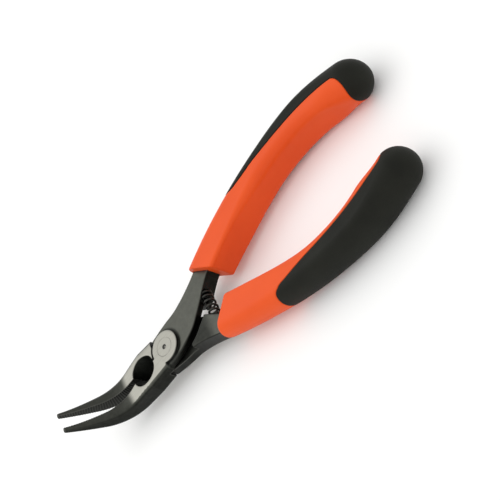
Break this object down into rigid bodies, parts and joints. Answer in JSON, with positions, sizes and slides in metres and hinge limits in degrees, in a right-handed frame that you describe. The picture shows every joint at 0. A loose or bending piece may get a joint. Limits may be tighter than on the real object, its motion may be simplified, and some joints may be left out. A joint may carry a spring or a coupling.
{
  "type": "bent nose pliers",
  "caption": "Self-opening bent-nose pliers with a lap joint, a cutter hollow, a small return spring and two-material soft grips.",
  "frame": {"origin": "on the pivot axis, in the rear end face of the rivet, which is flush with the ground rear face of the joint", "axes": "+X along the tool from the jaws to the handle ends, +Y in the plane the jaws open in, +Z along the pivot axis towards the side the nose is bent to"},
  "size_m": [0.1582, 0.063, 0.0244],
  "materials": {
    "forging_steel": "blackened forged steel, with the joint and the inner jaw faces ground bright",
    "ground_steel": "ground flush and lightly brushed",
    "spring_steel": "drawn wire, dull",
    "grip_core": "smooth satin moulded plastic",
    "soft_grip": "matte thermoplastic rubber"
  },
  "bodies": {
    "front_half": {"front_forging": "forging_steel", "pivot_rivet": "ground_steel", "return_spring": "spring_steel", "front_grip_core": "grip_core", "front_soft_grip": "soft_grip"},
    "rear_half": {"rear_forging": "forging_steel", "rear_grip_core": "grip_core", "rear_soft_grip": "soft_grip"}
  },
  "joints": [
    {"name": "pivot", "type": "hinge", "parent": "front_half", "child": "rear_half", "pos_m": [0, 0, 0.0037], "axis": [0, 0, 1], "range_deg": [0, 7], "stiffness_Nm_per_rad": 6, "deforming": ["return_spring"]}
  ]
}
